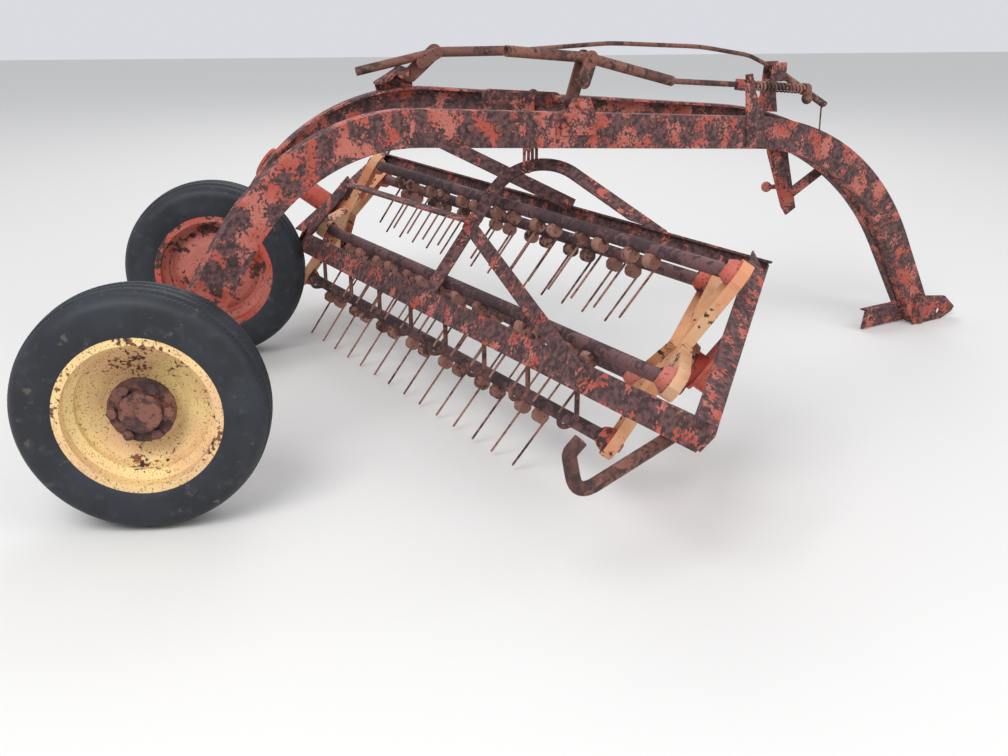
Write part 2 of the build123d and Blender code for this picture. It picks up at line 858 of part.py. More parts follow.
# Pivot plate: bolted to the outer face of the right beam, with the lift shaft's bearing at its top
pivot_gauge = 8
pivot_bolts = ((1167, 922), (1245, 916))
with BuildPart() as pivot_plate:
    with BuildSketch(beam_side):
        with BuildLine():
            Polyline(
                on_beam(1149, 880),
                on_beam(1259, 873),
                on_beam(1262, 925),
                on_beam(1238, 985),
                on_beam(1190, 987),
                on_beam(1148, 932),
                close=True,
            )
        make_face()
    extrude(amount=pivot_gauge)
    bolt_heads(beam_side.offset(pivot_gauge), [on_beam(*bolt) for bolt in pivot_bolts], bolt_head)
    with BuildSketch(beam_side):
        with Locations(on_beam(*arm_pivot)):
            Circle(crank_radius + seat_gap)
    extrude(amount=pivot_gauge, mode=Mode.SUBTRACT)
save(pivot_plate, "pivot_plate")


# Right spring: on the push bar, between the eye block and the collar of the ball end
knob_radius = 19
spring_gap = 2
spring_start = eye_start + push_run * (eye_length / 2 + spring_gap)
spring_end = by_right(*push_end, lever_middle) - push_run * (knob_radius + spring_wire)
spring(spring_start, spring_end, push_radius + seat_gap, spring_radius, "spring_right")


# Ball end: a turned knob under the end of the push bar, on a short neck
neck_radius = 9
knob_place = by_right(2092, 921, lever_middle)
with BuildPart() as push_knob:
    ball(knob_place, knob_radius)
    round_bar(knob_place, by_right(*push_end, lever_middle), neck_radius)
    with BuildSketch(Plane(origin=spring_end, z_dir=push_run)):
        Circle(spring_radius + 3)
        Circle(push_radius + seat_gap, mode=Mode.SUBTRACT)
    extrude(amount=knob_radius + spring_wire)
    with BuildSketch(Plane(origin=spring_start, z_dir=push_run)):
        Circle(push_radius + seat_gap)
    extrude(amount=3 * spring_start.sub(spring_end).length, mode=Mode.SUBTRACT)
save(push_knob, "push_knob")


# Left lift shaft: a bracket on the outer face of the left beam, folded over its top, with the boss
left_side = Plane(
    origin=(0, left_offset, 0), x_dir=(cos(left_angle), sin(left_angle), 0), z_dir=left_normal
)
bracket_gauge = 6
shaft_place = (682, 1031)
boss_radius = 19
left_out = -26


def left_plate(out, corners, gauge):
    """Adds a plate on the left beam's plane, moved out by this much, from its corners in X and Z."""
    with BuildSketch(left_side.offset(out)) as plate:
        Polygon(*[(x / cos(left_angle), -z) for x, z in corners], align=None)
    extrude(plate.sketch, amount=gauge)


with BuildPart() as saddle_bracket:
    saddle = ((625, 900), (730, 900), (722, 1010), (690, 1045), (665, 1040), (600, 1000))
    left_plate(0, saddle, bracket_gauge)
    for x, z in ((653, 940), (715, 944)):
        round_bar(by_left(x, z, bracket_gauge + bolt_head), by_left(x, z, 0), bolt_radius)
    left_plate(0, ((598, 1002), (596, 996), (640, 1008), (664, 1030), (664, 1040)), left_out * 2)
    round_bar(by_left(*shaft_place, bracket_gauge), by_left(*shaft_place, left_out * 2), boss_radius)
save(saddle_bracket, "saddle_bracket")


# Left lever: two plates beside the boss, bolted together over the round bar
left_top = (796, 1090)
left_low = (744, 1061)
left_foot = (716, 1020)
plate_gap = 34
front_out = left_out - plate_gap / 2 - lever_gauge / 2
rear_out = left_out + plate_gap / 2 + lever_gauge / 2
with BuildPart() as left_lever:
    across = left_normal.cross(Vector(0, 0, 1))
    flat_bar(by_left(*left_low, front_out), by_left(*left_top, front_out), across, 36, lever_gauge)
    flat_bar(by_left(*left_foot, rear_out), by_left(*left_top, rear_out), across, 48, lever_gauge)
    for place in (left_top, left_low):
        round_bar(by_left(*place, rear_out), by_left(*place, front_out - lever_gauge), bolt_head)
    outer = by_left(*shaft_place, bracket_gauge)
    round_hole(outer, by_left(*shaft_place, 4 * left_out), boss_radius + seat_gap)
save(left_lever, "left_lever")


# Trip rod: a round bar through the left lever, a tube, and a long bowed bar to the front bracket
bar_rear = (539, 1037)
bar_joint = (1058, 1088)
rod_route = ((1058, 1088), (1392, 1104), (1732, 1084), (1924, 1050), (2022, 1005))
rod_thin = 7.5
clevis_place = (2030, 1001)
eye_half = 8
with BuildPart() as trip_bar:
    lever_point = by_left(*left_top, left_out)
    round_bar(by_left(*bar_rear, left_out), lever_point, 14)
    round_bar(lever_point, by_left(*bar_joint, left_out), 16)
    corners = [by_left(x, z, left_out) for x, z in rod_route]
    with BuildLine():
        route = FilletPolyline(*corners, radius=[900, 900, 200])
    with BuildSketch(Plane(origin=route @ 0, z_dir=route % 0)):
        RegularPolygon(rod_thin, 8)
    sweep(path=route)
    outer = by_left(*clevis_place, left_out + eye_half)
    round_bar(outer, by_left(*clevis_place, left_out - eye_half), 2 * eye_half)
    round_hole(by_left(*clevis_place, 0), by_left(*clevis_place, 2 * left_out), eye_half - 2 + seat_gap)
    for place in (left_top, left_low):
        round_hole(by_left(*place, 0), by_left(*place, 2 * left_out), bolt_head + seat_gap)
save(trip_bar, "trip_bar")


# Front bracket of the left side: a plate on the beam's outer face with a clevis at its top
spring_low = (2256, 862)
with BuildPart() as front_bracket:
    upright = ((1975, 850), (2075, 842), (2064, 905), (2062, 1024), (2008, 1024), (2000, 905))
    left_plate(0, upright, bracket_gauge)
    left_plate(2 * left_out, ((2000, 958), (2062, 958), (2062, 1024), (2008, 1024)), -bracket_gauge)
    left_plate(0, ((2000, 958), (2062, 958), (2062, 964), (2000, 964)), 2 * left_out)
    outer = by_left(*clevis_place, bracket_gauge + bolt_head)
    round_bar(outer, by_left(*clevis_place, 2 * left_out - 2 * bracket_gauge), eye_half - 2)
save(front_bracket, "front_bracket")


# Left spring: a close coil from the eye of the trip rod to a hooked rod that hangs over the beam
slim_radius = 13.5
hook_wire = 3
eye_point = by_left(*clevis_place, left_out)
low_point = by_left(*spring_low, left_out)
spring_run = (low_point - eye_point).normalized()
slim_start = eye_point + spring_run * 2 * eye_half
spring(slim_start, low_point, hook_wire + seat_gap, slim_radius, "spring_left")
with BuildPart() as spring_hook:
    with BuildLine():
        route = Polyline(
            slim_start,
            low_point + spring_run * 2,
            by_left(2262, 850, hook_wire + 1),
            by_left(2264, 763, hook_wire + 1),
        )
    with BuildSketch(Plane(origin=route @ 0, z_dir=route % 0)):
        RegularPolygon(hook_wire, 6)
    sweep(path=route, transition=Transition.RIGHT)
save(spring_hook, "spring_hook")


# Stand post: a plate under the left beam with a ball on a short stem and a brace to the nose
ball_radius = 20
post_gauge = 8
with BuildPart() as stand_post:
    post = ((2038, 770), (2124, 756), (2140, 669), (2190, 476), (2152, 450), (2129, 482), (2050, 694))
    left_plate(0, post, post_gauge)
    flat_bar(by_left(2155, 526, 4), by_left(2325, 640, 4), Vector(0, 0, 1), 38, post_gauge)
    round_bar(by_left(2058, 564, post_gauge / 2), by_left(2120, 560, post_gauge / 2), 9)
    ball(by_left(2058, 564, post_gauge / 2), ball_radius)
    for x, z in ((2066, 735), (2112, 726), (2325, 640)):
        round_bar(by_left(x, z, post_gauge + bolt_head), by_left(x, z, 0), bolt_radius)
save(stand_post, "stand_post")


# Nose bracket: a plate with a bossed hole, on the flanges of the right beam at its nose
bracket_out = beam_flange + post_gauge
with BuildPart() as nose_bracket:
    with BuildSketch(beam_side.offset(-beam_flange)):
        Polygon(*[on_beam(x, z) for x, z in ((2485, 8), (2760, 8), (2740, 83), (2497, 83))], align=None)
        with Locations(on_beam(2526, 42)):
            Circle(11, mode=Mode.SUBTRACT)
    extrude(amount=-post_gauge)
    round_bar(by_right(2526, 42, -beam_flange), by_right(2526, 42, -beam_flange - 22), 20, 11)
    with BuildSketch(beam_side.offset(-beam_flange)):
        Polygon(*[on_beam(x, z) for x, z in ((2497, 78), (2740, 78), (2740, 83), (2497, 83))], align=None)
    extrude(amount=-30)
save(nose_bracket, "nose_bracket")


# Hitch plate: bolted to the outer face of the right beam's nose, pointed forward, with its pin hole
hitch_plane = Plane(origin=hitch_face, x_dir=beam_side.x_dir, z_dir=right_normal)
hitch_outline = ((-146, -36), (20, -36), (84, -14), (97, 4), (30, 58), (-146, 84))
with BuildPart() as hitch_plate:
    with BuildSketch(hitch_plane):
        Polygon(*hitch_outline, align=None)
        Circle(hitch_hole, mode=Mode.SUBTRACT)
        with Locations((-118, 27), (-112, -20)):
            Circle(7, mode=Mode.SUBTRACT)
    extrude(amount=hitch_gauge)
save(hitch_plate, "hitch_plate")
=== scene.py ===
import json
import math

import bpy
import numpy as np
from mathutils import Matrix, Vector


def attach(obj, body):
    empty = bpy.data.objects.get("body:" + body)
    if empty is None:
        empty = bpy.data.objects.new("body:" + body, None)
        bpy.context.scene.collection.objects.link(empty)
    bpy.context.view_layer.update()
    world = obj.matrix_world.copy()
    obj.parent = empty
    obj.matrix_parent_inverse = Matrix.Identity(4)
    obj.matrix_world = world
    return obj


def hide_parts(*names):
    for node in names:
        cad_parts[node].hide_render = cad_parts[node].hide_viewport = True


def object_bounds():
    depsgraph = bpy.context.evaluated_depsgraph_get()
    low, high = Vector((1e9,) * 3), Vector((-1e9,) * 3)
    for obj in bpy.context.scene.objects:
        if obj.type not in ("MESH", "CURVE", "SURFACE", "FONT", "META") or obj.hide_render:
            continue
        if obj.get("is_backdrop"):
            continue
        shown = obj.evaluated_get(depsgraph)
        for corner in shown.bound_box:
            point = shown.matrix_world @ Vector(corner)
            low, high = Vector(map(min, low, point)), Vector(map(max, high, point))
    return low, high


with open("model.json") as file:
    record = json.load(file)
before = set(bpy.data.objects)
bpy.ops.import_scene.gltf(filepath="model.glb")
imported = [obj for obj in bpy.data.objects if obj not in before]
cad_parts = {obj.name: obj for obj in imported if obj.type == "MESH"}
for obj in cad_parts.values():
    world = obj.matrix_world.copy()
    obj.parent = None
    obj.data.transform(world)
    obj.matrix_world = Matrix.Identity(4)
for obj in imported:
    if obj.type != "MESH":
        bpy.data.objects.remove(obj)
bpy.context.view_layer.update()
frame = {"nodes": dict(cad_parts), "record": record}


# The ground and the studio. The rake stands on a plain pale floor under a soft white sky, with one
# broad lamp over the camera's left shoulder and two weaker ones, ahead of the rake and beyond it.
# The camera stands on the rake's right.
ground_middle = np.array([2.8341, 0.7600, 0.036])
camera_place = np.array([0.633, -3.312, 1.368])
camera_tilt = 69.19
camera_turn = -6.02
camera_lens = 39.29
floor_colour = (0.72, 0.71, 0.69, 1.0)
floor_half = 14.0
floor_drop = 0.0005
sky_colour = (0.93, 0.95, 1.0, 1.0)
lamp_aim = (1.2, 0, 0.4)


def at(x, y, z):
    """Metres forward, left and up from the ground under the axle, set in the hitch pin's frame."""
    return np.array([x, y, z]) - ground_middle


floor_mesh = bpy.data.meshes.new("floor")
floor_signs = ((-1, -1), (1, -1), (1, 1), (-1, 1))
corners = [tuple(at(x * floor_half, y * floor_half, -floor_drop)) for x, y in floor_signs]
floor_mesh.from_pydata(corners, [], [(0, 1, 2, 3)])
floor = bpy.data.objects.new("floor", floor_mesh)
bpy.context.scene.collection.objects.link(floor)
floor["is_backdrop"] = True
floor_paint = bpy.data.materials.new("floor")
floor_paint.use_nodes = True
floor_shader = floor_paint.node_tree.nodes["Principled BSDF"]
floor_shader.inputs["Base Color"].default_value = floor_colour
floor_shader.inputs["Roughness"].default_value = 0.9
floor_mesh.materials.append(floor_paint)

world = bpy.data.worlds.new("sky")
world.use_nodes = True
bpy.context.scene.world = world
backdrop = world.node_tree.nodes["Background"]
backdrop.inputs["Color"].default_value = sky_colour
backdrop.inputs["Strength"].default_value = 0.75

lamps = (
    ("key", (-1.5, -4.5, 5.5), 3.5, 300),
    ("fill", (5.5, -3.5, 4.0), 4.0, 110),
    ("back", (1.5, 5.5, 5.0), 4.0, 110),
)
for name, place, width, power in lamps:
    lamp = bpy.data.lights.new(name, "AREA")
    lamp.size, lamp.energy = width, power
    holder = bpy.data.objects.new(name, lamp)
    bpy.context.scene.collection.objects.link(holder)
    holder.location = at(*place)
    aim = Vector(at(*lamp_aim)) - holder.location
    holder.rotation_euler = aim.to_track_quat("-Z", "Y").to_euler()

camera = bpy.data.objects.new("camera", bpy.data.cameras.new("camera"))
bpy.context.scene.collection.objects.link(camera)
camera.location = at(*camera_place)
camera.rotation_euler = (math.radians(camera_tilt), 0, math.radians(camera_turn))
camera.data.lens = camera_lens
camera.data.sensor_width = 36.0
camera.data.clip_end = 100
bpy.context.scene.camera = camera
bpy.context.scene.view_settings.view_transform = "Standard"


# The paint. Everything on the rake was sprayed one orange red over bare steel, and has weathered
# to chalky patches between purple-brown rust. Each finish is that layer, its rust and its flecks.
class Socket:
    """A shader socket that takes part in Python arithmetic, one Math node to each operation."""

    def __init__(self, tree, socket):
        self.tree, self.socket = tree, socket

    def node(self, kind, settings=(), sockets=(), output=0):
        """Adds a node: its settings first, then its sockets' values or links. Gives an output."""
        made = self.tree.nodes.new(kind)
        for name, value in dict(settings).items():
            setattr(made, name, value)
        for key, value in dict(sockets).items():
            if isinstance(value, Socket):
                self.tree.links.new(value.socket, made.inputs[key])
            else:
                made.inputs[key].default_value = value
        return Socket(self.tree, made.outputs[output])

    def maths(self, operation, first, second):
        """One Math node."""
        return self.node("ShaderNodeMath", {"operation": operation}, {0: first, 1: second})

    def __add__(self, other):
        return self.maths("ADD", self, other)

    def __rsub__(self, other):
        return self.maths("SUBTRACT", other, self)

    def __mul__(self, other):
        return self.maths("MULTIPLY", self, other)

    def between(self, low, high):
        """0 below low, 1 above high and a smooth rise between them."""
        return self.node(
            "ShaderNodeMapRange",
            {"interpolation_type": "SMOOTHSTEP"},
            {"Value": self, "From Min": low, "From Max": high},
        )

    def noise(self, scale, detail):
        """Fractal noise with about scale lumps to the metre, from 0 to 1."""
        sockets = {"Vector": self, "Scale": scale, "Detail": detail}
        return self.node("ShaderNodeTexNoise", (), sockets)

    def mixed(self, under, over):
        """Colour that goes from under to over as this socket goes from 0 to 1."""
        sockets = {"Factor": self, 6: under, 7: over}
        return self.node("ShaderNodeMix", {"data_type": "RGBA"}, sockets, output=2)

    def along(self, direction):
        """How far this vector reaches along a direction."""
        sockets = {0: self, 1: tuple(direction)}
        return self.node("ShaderNodeVectorMath", {"operation": "DOT_PRODUCT"}, sockets, output=1)


def finish(name):
    """A new material, with its shader and the piece's own coordinates."""
    material = bpy.data.materials.new(name)
    material.use_nodes = True
    tree = material.node_tree
    shader = tree.nodes["Principled BSDF"]
    coordinates = tree.nodes.new("ShaderNodeTexCoord")
    return material, shader, Socket(tree, coordinates.outputs["Object"])


def coat(shader, colour, rough, height, depth=0.0015):
    """Joins a colour, a roughness and a height of this depth in metres to the shader."""
    tree = shader.id_data
    tree.links.new(colour.socket, shader.inputs["Base Color"])
    tree.links.new(rough.socket, shader.inputs["Roughness"])
    sockets = {"Height": height, "Strength": 0.35, "Distance": depth}
    bump = height.node("ShaderNodeBump", (), sockets)
    tree.links.new(bump.socket, shader.inputs["Normal"])


def weathered(name, paint, faded, rust, dark, wear, fleck=60.0, patch=9.0):
    """Old paint: faded in clouds, lost to rust where fine and coarse noise together pass an edge
    that sinks from 0.60 to 0.38 as wear goes from 0 to 1, with dark flecks over both."""
    material, shader, place = finish(name)
    cloud = place.noise(patch * 0.7, 5.0)
    chips = place.noise(fleck, 7.0) * 0.4 + place.noise(patch, 5.0) * 0.6
    edge = 0.60 - 0.22 * wear
    bare = chips.between(edge - 0.015, edge + 0.025)
    flecks = place.noise(fleck * 2.4, 4.0).between(0.58, 0.66)
    colour = cloud.between(0.38, 0.62).mixed(paint, faded)
    rusted = place.noise(fleck * 0.6, 6.0).between(0.36, 0.62).mixed(rust, dark)
    colour = bare.mixed(colour, rusted)
    colour = (flecks * 0.75).mixed(colour, dark)
    rough = bare * 0.16 + cloud * 0.10 + 0.62
    coat(shader, colour, rough, (1 - bare) * 0.5 + place.noise(fleck * 3.0, 5.0) * 0.5)
    return material


orange = (0.40, 0.066, 0.038, 1)
faded_orange = (0.46, 0.140, 0.105, 1)
purple_rust = (0.140, 0.062, 0.060, 1)
brown_rust = (0.130, 0.050, 0.034, 1)
dark_rust = (0.042, 0.022, 0.023, 1)
frame_coat = (orange, faded_orange, purple_rust, dark_rust)
reel_coat = ((0.46, 0.066, 0.036, 1), faded_orange, brown_rust, dark_rust)
bar_coat = (purple_rust, (0.105, 0.045, 0.050, 1), (0.060, 0.030, 0.036, 1), dark_rust)
rod_coat = ((0.20, 0.075, 0.050, 1), (0.15, 0.06, 0.045, 1), brown_rust, dark_rust)
tooth_coat = ((0.33, 0.160, 0.120, 1), (0.24, 0.105, 0.078, 1), (0.17, 0.07, 0.05, 1), dark_rust)
wheel_coat = ((0.80, 0.60, 0.26, 1), (0.74, 0.47, 0.24, 1), (0.24, 0.08, 0.035, 1), dark_rust)

beam_paint = weathered("beam_paint", *frame_coat, wear=0.62, fleck=120.0, patch=17.0)
basket_paint = weathered("basket_paint", *frame_coat, wear=0.74, fleck=110.0, patch=18.0)
reel_red = weathered("reel_red", *reel_coat, wear=0.25)
bar_rust = weathered("bar_rust", *bar_coat, wear=0.5)
rod_rust = weathered("rod_rust", *rod_coat, wear=0.5)
tooth_rust = weathered("tooth_rust", *tooth_coat, wear=0.3)
wheel_cream = weathered("wheel_cream", *wheel_coat, wear=0.10, fleck=95.0)

slots = {
    "frame_paint": beam_paint,
    "basket_paint": basket_paint,
    "rusty_steel": rod_rust,
    "reel_red": reel_red,
    "wheel_cream": wheel_cream,
    "bar_rust": bar_rust,
}


def paint_node(node, material):
    """Gives a CAD node this finish all over."""
    mesh = frame["nodes"][node].data
    mesh.materials.clear()
    mesh.materials.append(material)


for part in frame["record"]["subparts"]:
    if part["material_slot"] in slots:
        paint_node(part["node"], slots[part["material_slot"]])


# The tyres: two old ribbed implement tyres. Each is one closed skin swept round the wheel, with
# five ribs between four grooves, fine slanting cuts across the ribs and a thin ring by each
# shoulder.
tyre_radius = 0.318
tyre_half = 0.082
widest_radius = 0.262
bead_radius = 0.196
wheel_side = 0.6685
groove_places = (-0.042, -0.0145, 0.0145, 0.042)
groove_half = 0.0042
groove_rise = 1.6
groove_depth = 0.0065
tread_half = 0.064
tread_fade = 0.006
cut_count = 150
cut_slant = 330
cut_half = 0.16
cut_depth = 0.0022
ring_place = 0.0745
ring_half = 0.0012
ring_height = 0.0016
profile_end = 2.25
width_power = 0.80
radius_power = 0.62


def link(mesh, name, body, material):
    """Makes a piece of a mesh, in its finish, riding on its body."""
    piece = bpy.data.objects.new(name, mesh)
    bpy.context.scene.collection.objects.link(piece)
    mesh.materials.append(material)
    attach(piece, body)
    return piece


def skin(name, points, round_u=True, round_v=True, smooth=True):
    """A mesh over a grid of points, closed where a side is round, with its quads in whole rows."""
    rows, columns = points.shape[:2]
    index = np.arange(rows * columns).reshape(rows, columns)
    index = np.concatenate([index, index[:1]], 0) if round_u else index
    index = np.concatenate([index, index[:, :1]], 1) if round_v else index
    quads = [index[:-1, :-1], index[1:, :-1], index[1:, 1:], index[:-1, 1:]]
    quads = np.stack(quads, -1).reshape(-1, 4)
    mesh = bpy.data.meshes.new(name)
    mesh.from_pydata(points.reshape(-1, 3).tolist(), [], quads.tolist())
    mesh.polygons.foreach_set("use_smooth", np.full(len(quads), smooth))
    return mesh


def tyre_points(turns, steps):
    """Along the profile a runs from bead to bead. The width is tyre_half times sin a to
    width_power. The radius runs from the widest place out to the tread, and in to the beads, as
    cos a to radius_power. Grooves and slanting cuts lower it and the rings raise it, each with
    sloping sides."""
    a = np.linspace(-profile_end, profile_end, steps)
    width = tyre_half * np.sign(np.sin(a)) * np.abs(np.sin(a)) ** width_power
    rise = np.sign(np.cos(a)) * np.abs(np.cos(a)) ** radius_power
    depth = (widest_radius - bead_radius) / abs(np.cos(profile_end)) ** radius_power
    radius = widest_radius + np.where(rise > 0, rise * (tyre_radius - widest_radius), rise * depth)
    turn = np.linspace(0, 2 * np.pi, turns, endpoint=False)[:, None]
    outer = rise > 0
    tread = np.clip((tread_half - np.abs(width)) / tread_fade, 0, 1) * outer
    groove = sum(
        np.clip(groove_rise - np.abs(width - place) / groove_half, 0, 1) for place in groove_places
    )
    slant = (turn * cut_count + width * cut_slant) / (2 * np.pi)
    cut = np.clip(1 - np.abs(slant - np.round(slant)) / cut_half, 0, 1)
    ring = np.clip(1 - np.abs(np.abs(width) - ring_place) / ring_half, 0, 1) * outer
    lowered = tread * np.maximum(groove * groove_depth, cut * cut_depth) - ring * ring_height
    radius = radius - lowered
    return turn, radius, np.broadcast_to(width, radius.shape)


def rubber(name):
    """Blue-black rubber gone grey and chalky, with dried mud in spots on the sides and tread."""
    material, shader, place = finish(name)
    cloud = place.noise(7.0, 5.0)
    dust = place.noise(38.0, 7.0)
    mud = (place.noise(34.0, 8.0) * 0.6 + dust * 0.4).between(0.61, 0.67)
    colour = cloud.between(0.35, 0.65).mixed((0.008, 0.010, 0.015, 1), (0.017, 0.021, 0.030, 1))
    colour = (dust.between(0.52, 0.75) * 0.35).mixed(colour, (0.050, 0.052, 0.058, 1))
    colour = (mud * 0.6).mixed(colour, (0.13, 0.10, 0.075, 1))
    coat(shader, colour, cloud * 0.2 + mud * 0.2 + 0.48, dust * 0.6 + mud * 0.4, 0.0012)
    return material


tyre_rubber = rubber("tyre_rubber")
for hand, side in ((-1, "right"), (1, "left")):
    turn, radius, width = tyre_points(1080, 84)
    x, z = radius * np.cos(turn), radius * np.sin(turn)
    centre = at(0, hand * wheel_side, tyre_radius)
    points = np.stack([x, width, z], -1) + centre
    name = "ribbed_tyre_" + side
    tyre = link(skin(name, points), name, "wheel_" + side, tyre_rubber)
    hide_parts("tyre_" + side)


# The wheel centres: the near disc is cream with rust at its bolts, the far one has kept the red of
# the rake. The hub under each is bare brown iron, held by six rusty nuts.
paint_node("rim_left", reel_red)
paint_node("hub_right", rod_rust)
paint_node("hub_left", rod_rust)


# The reel heads: two pressed five-armed plates that turn together, one at each end of the bars.
# They are cream on what faces the reel or across it, and orange red on what faces out.
outward = np.array([0.804874, -0.250074, -0.538183])
across = np.array([0.296708, 0.954968, 0.0])
upward = np.cross(outward, across)
along = np.array([-0.435962, 0.899825, -0.015882])
reel_middle = at(1.336, -0.706, 0.430)


def unit(vectors):
    """The same directions with a length of one."""
    return vectors / np.linalg.norm(vectors, axis=-1, keepdims=True)


inward = unit(np.cross(along, upward))


def two_tone(name, side):
    """Cream on what faces the reel or across it, orange red on what faces out from the head."""
    material, shader, place = finish(name)
    normal = Socket(place.tree, place.socket.node.outputs["Normal"])
    flat = 1 - normal.along(outward * side).between(0.15, 0.45)
    cloud = place.noise(7.0, 5.0)
    chips = place.noise(70.0, 7.0) * 0.4 + place.noise(11.0, 5.0) * 0.6
    bare = chips.between(0.56, 0.60)
    cream = cloud.between(0.36, 0.62).mixed((0.70, 0.42, 0.235, 1), (0.60, 0.25, 0.125, 1))
    red = cloud.between(0.36, 0.62).mixed(orange, faded_orange)
    colour = flat.mixed(red, cream)
    rusted = place.noise(50.0, 5.0).between(0.4, 0.6).mixed(brown_rust, dark_rust)
    colour = bare.mixed(colour, rusted)
    rough = bare * 0.15 + cloud * 0.1 + 0.58
    coat(shader, colour, rough, (1 - bare) * 0.5 + place.noise(200.0, 5.0) * 0.5)
    return material


paint_node("head_right", two_tone("right_head_cream", 1))
paint_node("head_left", two_tone("left_head_cream", -1))


# The tooth bars: five steel tubes, each with seven double teeth and with a domed and grooved bell,
# painted red, at both ends. A tooth has two coils of spring wire side by side under the tube.
reel_radius = 0.278
first_angle = 102.7
bar_angles = np.radians(first_angle + 72 * np.arange(5))
bar_length = 1.980
tube_inset = 0.012
tube_radius = 0.0192
first_tooth = 0.330
tooth_step = 0.227
tooth_half = 0.045
tooth_runs = first_tooth + tooth_step * np.arange(7)
coil_middles = np.sort(np.concatenate([tooth_runs - tooth_half, tooth_runs + tooth_half]))
coil_length = 0.034
coil_drop = 0.034
wire_radius = 0.0036
coil_line = 0.0182
coil_turns = 4.4


def rounds(path, normal, binormal, radius, sides=8):
    """Circles of the radius round each point of a path, in the plane of two side directions."""
    a = np.linspace(0, 2 * np.pi, sides, endpoint=False)[:, None]
    ring = np.cos(a) * normal[..., None, :] + np.sin(a) * binormal[..., None, :]
    return path[..., None, :] + np.asarray(radius)[..., None, None] * ring


def helix(start, axis, side, length, line_radius, turns, steps_per_turn=18):
    """A line that goes round the axis at line_radius as it climbs the length, and its two side
    directions: straight out from the axis, and square to that and to the line itself."""
    climb = np.linspace(0, 1, int(turns * steps_per_turn))
    a = 2 * np.pi * turns * climb[:, None]
    other = np.cross(axis, side)
    out = np.cos(a) * side + np.sin(a) * other
    onward = np.cos(a) * other - np.sin(a) * side
    tangent = unit(2 * np.pi * turns * line_radius * onward + axis * length)
    path = start + axis * length * climb[:, None] + out * line_radius
    return path, out, np.cross(tangent, out)


def turned(name, start, axis, side, profile, sides=48, smooth=True):
    """A turned skin: each point of the profile is a distance along the axis and a radius."""
    reach, radius = np.array(profile).T
    a = np.linspace(0, 2 * np.pi, sides, endpoint=False)[:, None, None]
    ring = np.cos(a) * side + np.sin(a) * np.cross(axis, side)
    points = start + axis * reach[:, None] + ring * radius[:, None]
    return skin(name, points, round_v=False, smooth=smooth)


def joined(name, meshes):
    """One mesh of several, each moved on by the points before it."""
    offsets = np.cumsum([0] + [len(mesh.vertices) for mesh in meshes])
    points, faces, smooth = [], [], []
    for mesh, offset in zip(meshes, offsets):
        block = np.empty(len(mesh.vertices) * 3)
        mesh.vertices.foreach_get("co", block)
        corners = np.empty(len(mesh.loops), dtype=int)
        mesh.loops.foreach_get("vertex_index", corners)
        points.append(block.reshape(-1, 3))
        faces.append(corners.reshape(-1, 4) + offset)
        smooth.append(np.full(len(mesh.polygons), mesh.polygons[0].use_smooth))
        bpy.data.meshes.remove(mesh)
    whole = bpy.data.meshes.new(name)
    faces = np.concatenate(faces)
    whole.from_pydata(np.concatenate(points).tolist(), [], faces.tolist())
    whole.polygons.foreach_set("use_smooth", np.concatenate(smooth))
    return whole


dome = [(-0.031, 0.0195), (-0.029, 0.0225), (-0.022, 0.0275), (-0.012, 0.0320)]
dome += [(0.0, 0.0348), (0.008, 0.0355), (0.0105, 0.0352), (0.0110, 0.0335)]
dome += [(0.0125, 0.0335), (0.0130, 0.0352), (0.0175, 0.0352), (0.0180, 0.0335)]
dome += [(0.0195, 0.0335), (0.0200, 0.0350), (0.0222, 0.0350), (0.0222, 0.0100)]
tube = [(tube_inset, tube_radius), (bar_length - tube_inset, tube_radius)]
for number, turn in enumerate(bar_angles):
    name = f"bar_{number + 1}"
    place = reel_middle + reel_radius * (np.cos(turn) * across + np.sin(turn) * upward)
    bells = [
        turned("bell", place, outward, across, dome),
        turned("bell", place + along * bar_length, -outward, across, dome),
    ]
    link(joined("bells_" + name, bells), "bells_" + name, name, reel_red)
    paint_node(name, tooth_rust)
    sleeve = turned("tube_" + name, place, along, inward, tube, 40)
    link(sleeve, "tube_" + name, name, bar_rust)
    coils = []
    for middle in coil_middles:
        start = place + along * (middle - coil_length / 2 + wire_radius) - upward * coil_drop
        reach = coil_length - 2 * wire_radius
        path, out, square = helix(start, along, inward, reach, coil_line, coil_turns)
        coils.append(skin("coil", rounds(path, out, square, wire_radius), round_u=False))
    link(joined("coils_" + name, coils), "coils_" + name, name, tooth_rust)


# The strippers: eight round steel rods that hang from the rail between the teeth and hook outward.
# Each goes up through the rail and is held by a nut on top of it.
stripper_place = (-0.403, -0.016)
rail_reach = 0.015
first_stripper = 0.328
stripper_runs = first_stripper + tooth_step * np.arange(8)
rod_radius = 0.0068
rod_top = 0.049
rod_bend = 0.0175
rod_drop = 0.150
rod_toe = 0.054
rod_tip = 0.040
nut_seat = 0.0353
closed = 0.0002
bore_depth = 0.025
above = unit(np.cross(inward, along))
above = above * np.sign(above[2])


def rail_point(place, run, x, y):
    """A point at the run along a rail: x in from the centre line of its web and y up beside it."""
    foot = reel_middle + across * place[0] + upward * place[1]
    return foot + along * run + inward * x + above * y


def rounded(corners, bend, steps=9):
    """A path through corners: each inner corner gives way to a quadratic curve that starts and
    ends its length of bend from it, or short of the middle of a side that is shorter."""
    corners = np.array(corners)
    bends = np.broadcast_to(bend, len(corners) - 2)
    t = np.linspace(0, 1, steps)[:, None]
    pieces = [corners[:1]]
    for before, corner, after, give in zip(corners[:-2], corners[1:-1], corners[2:], bends):
        first = corner + (before - corner) * min(give / np.linalg.norm(before - corner), 0.48)
        last = corner + (after - corner) * min(give / np.linalg.norm(after - corner), 0.48)
        pieces.append((1 - t) ** 2 * first + 2 * t * (1 - t) * corner + t ** 2 * last)
    pieces.append(corners[-1:])
    return np.concatenate(pieces)


